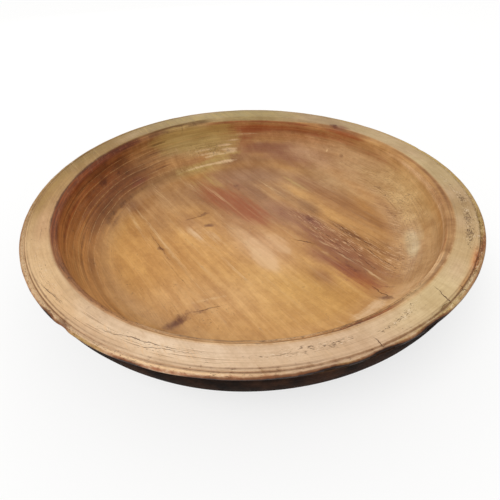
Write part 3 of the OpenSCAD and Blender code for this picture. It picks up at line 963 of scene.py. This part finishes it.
def woodMaterial(w):
    # The painted tone, tinted by the patterns, then with each kind of wear laid over it in turn
    material = emptyMaterial("old_turned_hardwood")
    add, over, grained, summed, broken, pattern, place, profile = woodTools(material.node_tree, w)
    codes = w["colours"]
    masks = {}
    for name, keys in channels.items():
        packed = add("Attribute", attribute_name=name)
        masks.update(zip(keys, add("SeparateColor", packed.outputs["Color"]).outputs))
    colour = add("Attribute", attribute_name="tone").outputs["Color"]
    onRim = add("Attribute", attribute_name="rimShare").outputs["Fac"]
    inside = add("ease", profile, *w["insideFrom"])
    onWall = add("times", inside, add("ease", profile, *w["wallUpTo"]))
    onLip = add("times", inside, add("ease", profile, *w["lipUpTo"]))
    onFloor = add("ease", profile, *w["floorFrom"])

    # Light and dark figure of the wood itself, weaker on the rim, with flat strokes where the cutter
    # has torn the grain or cut it clean
    figured = add("ease", onRim, *w["rimFigure"])
    for name in ("broad", "streak", "bands"):
        colour = grained(colour, name, figured)
    for name in ("thread", "blotch", "mottle"):
        colour = grained(colour, name)
    colour = grained(colour, "strokes", figured, "ease")

    # Stains, the pale one partly painted highlight and the scorch partly painted shade, ragged along the
    # grain on the floor and along the turning on the wall
    turnedEdges = add("times", onWall, w["turnedEdges"])
    ragged = add("Mix", {0: turnedEdges, 2: pattern["streak"], 3: pattern["toolBroad"]})
    pattern["ragged"] = summed(ragged, w["raggedFine"])
    for name, (code, strength) in w["stains"].items():
        edge = broken(masks[name], w["stainBreaks"], w["stainMiddle"])
        colour = over(colour, add("ease", edge, *w["stainEdge"], 0.0, strength), code)

    def scratched(under, name, where):
        # Thin lines where a pattern peaks, as strong as the scratched mask is there
        low, high, first, last, least, most, code = w["lines"][name]
        peaks = add("ease", pattern[name], low, high)
        share = add("ease", masks["scratched"], first, last, least, most)
        return over(under, add("times", add("times", peaks, share), where), code)

    # The tool's marks on the wall, and hairlines round the rim and the wall
    ringed = masks["ringed"]
    onRings, allOver = w["toolShare"]
    toolShare = add("timesPlus", ringed, onRings, add("times", onWall, allOver))
    colour = grained(colour, "toolBroad", toolShare)
    fineShare = add("ease", profile, *w["finelyTurnedUpTo"])
    fineShare = add("times", fineShare, add("ease", ringed, *w["offRings"]))
    colour = grained(colour, "toolFine", fineShare)
    colour = scratched(colour, "hairline", add("larger", onRim, onWall))
    colour = grained(colour, "lipLine", add("times", onLip, add("ease", ringed, *w["lipLines"])))

    # Its light lines on the left, as narrow peaks of a colour ramp along the profile. The drift
    # moves them on by half of itself, and the peaks make up for that.
    first, last = w["ringSpan"]
    drifted = add("timesPlus", pattern["drift"], w["ringDrift"], profile)
    peaks = add("ValToRGB", add("MapRange", drifted, first, last))
    stops = peaks.color_ramp.elements
    stops[1].color = (0, 0, 0, 1)
    for at, half in w["ringLines"]:
        for offset, light in ((-half, 0.0), (0.0, 1.0), (half, 0.0)):
            stop = stops.new((at + w["ringDrift"] / 2 + offset - first) / (last - first))
            stop.color = (light, light, light, 1)
    ringShare = add("ease", pattern["mottle"], *w["ringBreaks"])
    ringShare = add("times", add("times", peaks, ringed), ringShare)
    colour = over(colour, ringShare, codes["ringLine"])

    # Pale silky lines, fine dark scratches and light splinters along the grain
    paleShare = add("ease", pattern["paleLine"], *w["paleLines"])
    colour = over(colour, add("times", paleShare, onFloor), codes["paleLine"])
    colour = scratched(colour, "needle", add("minus", 1.0, onRim))
    colour = scratched(colour, "splinter", 1.0)

    # Short checks and pores where the end grain has opened, and light flecks between them
    parts = {**pattern, "checks": masks["checks"]}
    checks = add("ease", summed(pattern["dashes"], w["checkLevel"], parts), *w["checks"])
    colour = over(colour, checks, codes["check"])
    flecks = summed(pattern["dashes"], w["fleckLevel"])
    flecks = add("times", add("ease", flecks, *w["flecks"]), onRim)
    fleckShare = add("ease", masks["checks"], *w["fleckShare"])
    colour = over(colour, add("times", flecks, fleckShare), codes["fleck"])

    # Painted sheen (reflections of the light painted pale on the floor), silky lines, knots and cracks:
    # each an ellipsoid, bent a little by noise. The noise moves it by half of bend, and its centre makes
    # up for that.
    bend = w["bend"] * metre
    noise = add("TexNoise", {"Vector": place, "Scale": w["bendScale"], "Detail": 3})
    bent = add("shift", noise.outputs["Color"], (bend, bend, 0.0), place)

    def marksOf(rows, widen, edge):
        # Each mark is strongest in its middle and reaches full strength within edge of its border
        total = 0.0
        for cx, cy, cz, long, wide, turn, strength in rows:
            deep = min(w["markDepth"], w["depthToLength"] * long)
            local = add("putAround", {
                "Vector": bent,
                "Location": (cx * metre + bend / 2, cy * metre + bend / 2, cz * metre),
                "Rotation": (0, 0, math.radians(turn)),
                "Scale": (long * widen * metre, wide * widen * metre, deep * metre),
            })
            fall = add("ball", local).outputs["Fac"]
            fall = add("timesUpToOne", fall, 1 / edge)
            total = add("larger", total, add("times", fall, strength))
        return total

    laid = {}
    for name, (widen, edge, breaker, by, low, high, strength, code) in w["marks"].items():
        mask = broken(marksOf(w[name], widen, edge), {breaker: by})
        laid[name] = add("ease", mask, low, high, 0.0, strength)
        colour = over(colour, laid[name], code)

    # The bead is browned by handling, grime and painted shade lie in the groove, and smoke has blackened
    # the outside
    for name, (shares, levels, code) in w["edges"].items():
        colour = over(colour, add("ease", broken(masks[name], shares), *levels), code)
    least = add("ease", profile, *w["smokeUpTo"])
    edge = add("plus", broken(masks["outside"], w["smokeBreaks"]), least)
    colour = over(colour, add("ease", edge, *w["browned"]), codes["browned"])
    smoked = add("ease", edge, *w["smoked"])
    colour = over(colour, smoked, codes["smoked"])

    # Gloss: satin inside, drier on the rim and outside, uneven with the streaks
    gloss = add("MapRange", pattern["streak"], *w["roughness"])
    dry = add("larger", onRim, smoked)
    dry = add("larger", dry, add("ease", profile, *w["dryUpTo"]))
    gloss = add("Mix", {0: dry, 2: gloss, 3: w["rimRoughness"]})

    # Fine relief: tool marks and fibres, with checks and cracks cut into them
    parts = {**pattern, "cracks": laid["cracks"], "checks": checks}
    finish(add, w, colour, gloss, summed(pattern["toolFine"], w["raised"], parts))
    return material


# The same wood outside, smoked and greased nearly black and never polished, so it hardly shines
smoke = {
    "grainRise": 0.0,
    "dark": "#160c07",
    "brown": "#352014",
    "greenish": "#1d1e10",
    "rubbedBack": "#6a4629",
    "foot": "#4a3120",
    "footFade": (3.0, -4.0),  # past the edge of the foot
    "roughness": 0.82,
    "gleam": 0.06,
    "ior": 1.5,
    "bump": (0.6, 0.6),
    "share": 0.97,            # a face is of this wood where its corners are this far outside
    # from, to, least, most
    "clouds": (0.36, 0.66),
    "smears": (0.52, 0.68, 0.0, 0.5),
    "footShare": (0.3, 0.6, 0.35, 0.9),
    "rubbed": (0.45, 1.15, 0.0, 0.75),
    # strengths with which patterns are added up
    "rubbedBreaks": {"smear": 1.4, "soot": 1.2},
    "raised": {"smear": 0.8, "pits": 0.6},
    "patterns": {
        "soot": ("place", (34, 34, 34), 6, 0.65),
        "pits": ("place", (2.2, 2.2, 2.2), 3, 0.6),
        "smear": ("turned", (9, 120, 120), 5, 0.6),
        "toolLines": ("turned", (1.8, 90, 90), 3, 0.6),
        "streak": ("grain", (90, 5, 12), 4, 0.6),
    },
    "tints": {
        "streak": (0.36, 0.64, (0.78, 0.75, 0.72), (1.2, 1.18, 1.15)),
        "toolLines": (0.34, 0.66, (0.75, 0.72, 0.7), (1.25, 1.22, 1.2)),
        "pits": (0.3, 0.42, (0.6, 0.6, 0.6), (1.0, 1.0, 1.0)),
    },
}


def smokedMaterial(w):
    # Soot in clouds and smears, a browner foot and rubbed places, tinted by grain, tool and pits
    material = emptyMaterial("smoked_hardwood")
    add, over, grained, summed, broken, pattern, place, profile = woodTools(material.node_tree, w)
    clouds = add("ease", pattern["soot"], *w["clouds"])
    colour = over((*linear(w["dark"]), 1), clouds, w["brown"])
    smears = add("ease", pattern["smear"], *w["smears"])
    colour = over(colour, smears, w["greenish"])
    onFoot = add("ease", profile, *(footEdge + away for away in w["footFade"]))
    footShare = add("ease", pattern["soot"], *w["footShare"])
    colour = over(colour, add("times", onFoot, footShare), w["foot"])
    rubbedMask = add("Attribute", attribute_name="rubbed").outputs["Fac"]
    rubbedShare = add("ease", broken(rubbedMask, w["rubbedBreaks"]), *w["rubbed"])
    colour = over(colour, rubbedShare, w["rubbedBack"])
    for name in w["tints"]:
        colour = grained(colour, name)
    finish(add, w, colour, w["roughness"], summed(pattern["toolLines"], w["raised"]))
    return material


bowl.data.materials.append(woodMaterial(wood))
bowl.data.materials.append(smokedMaterial(smoke))
facesDark = np.concatenate([zones["outside"][f].mean(1) > smoke["share"] for f in faceSets])
bowl.data.polygons.foreach_set("material_index", facesDark.astype(np.int32))
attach(bowl, "root")
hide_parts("bowl")
print("bowl made")

# Plain pale floor under soft studio light
stage = {
    "floorSize": 8.0,
    "floorColour": "#f7f6f4",
    "floorRoughness": 0.9,
    "floorGlow": 0.7,         # share of the floor that the camera sees as plain white
    "worldStrength": 0.76,
    "worldInGloss": 0.34,     # the room that the wax reflects is darker than the soft boxes
    "sunPower": 1.24,
    "sunSpread": 36.0,
    "sunFrom": (-0.5, -0.4, 1.0),
    # windows behind the bowl: place, width, height, watts
    "windows": (((0.05, 1.9, 1.66), 0.9, 0.6, 2.0), ((-0.66, 2.3, 0.74), 0.3, 0.45, 3.0)),
}
white = (1, 1, 1, 1)
half = stage["floorSize"] / 2
floorMesh = bpy.data.meshes.new("studio_floor")
floorMesh.from_pydata([(-half, -half, 0), (half, -half, 0), (half, half, 0), (-half, half, 0)], [],
                      [(0, 1, 2, 3)])
floor = bpy.data.objects.new("studio_floor", floorMesh)
bpy.context.scene.collection.objects.link(floor)
paper = emptyMaterial("studio_paper")
add = partial(addNode, paper.node_tree)
matt = add("BsdfPrincipled", {
    "Base Color": (*linear(stage["floorColour"]), 1), "Roughness": stage["floorRoughness"]})
seen = add("LightPath").outputs["Is Camera Ray"]
glow = add("Emission", {"Color": white, "Strength": 1.0})
glowShare = add("times", seen, stage["floorGlow"])
add("OutputMaterial", add("MixShader", glowShare, matt, glow))
floorMesh.materials.append(paper)

# The camera sees a white room, and the wax reflects a darker one
world = bpy.data.worlds.new("studio")
bpy.context.scene.world = world
world.use_nodes = True
world.node_tree.nodes.clear()
add = partial(addNode, world.node_tree)
rays = add("LightPath").outputs
dimmed = add("MapRange", {
    0: rays["Is Glossy Ray"], 3: stage["worldStrength"], 4: stage["worldInGloss"]})
strength = add("Mix", {0: rays["Is Camera Ray"], 2: dimmed, 3: 1.0})
add("OutputWorld", add("Background", {"Color": white, "Strength": strength}))


def lamp(name, kind, at, aim, energy):
    # A lamp at a place, turned to look at its aim
    data = bpy.data.lights.new(name, kind)
    data.energy = energy
    made = bpy.data.objects.new(name, data)
    made.location = at
    made.rotation_euler = (Vector(aim) - Vector(at)).to_track_quat("-Z", "Y").to_euler()
    bpy.context.scene.collection.objects.link(made)
    return made


sun = lamp("sun", "SUN", stage["sunFrom"], (0, 0, 0), stage["sunPower"])
sun.data.angle = math.radians(stage["sunSpread"])
sun.visible_glossy = False
for at, width, height, watts in stage["windows"]:
    window = lamp("window", "AREA", at, (0, 0, 0), watts).data
    window.shape = "RECTANGLE"
    window.size = width
    window.size_y = height
print("stage set")

# The camera stands in front of the bowl, as the photograph was taken
view = {
    "lens": 26.0,             # on a 36 mm sensor
    "place": (0.0, -0.4138, 0.3352),
    "aim": (-0.0016, -0.1307, 0.0924),
    "roll": -1.75,
    "nearest": 0.01,
}
camera = bpy.data.objects.new("camera", bpy.data.cameras.new("camera"))
camera.data.lens = view["lens"]
camera.data.clip_start = view["nearest"]
look = (Vector(view["aim"]) - Vector(view["place"])).to_track_quat("-Z", "Y").to_matrix()
camera.rotation_euler = (look @ Matrix.Rotation(math.radians(view["roll"]), 3, "Z")).to_euler()
camera.location = view["place"]
bpy.context.scene.collection.objects.link(camera)
bpy.context.scene.camera = camera
bpy.context.scene.view_settings.view_transform = "Standard"
print("camera set")
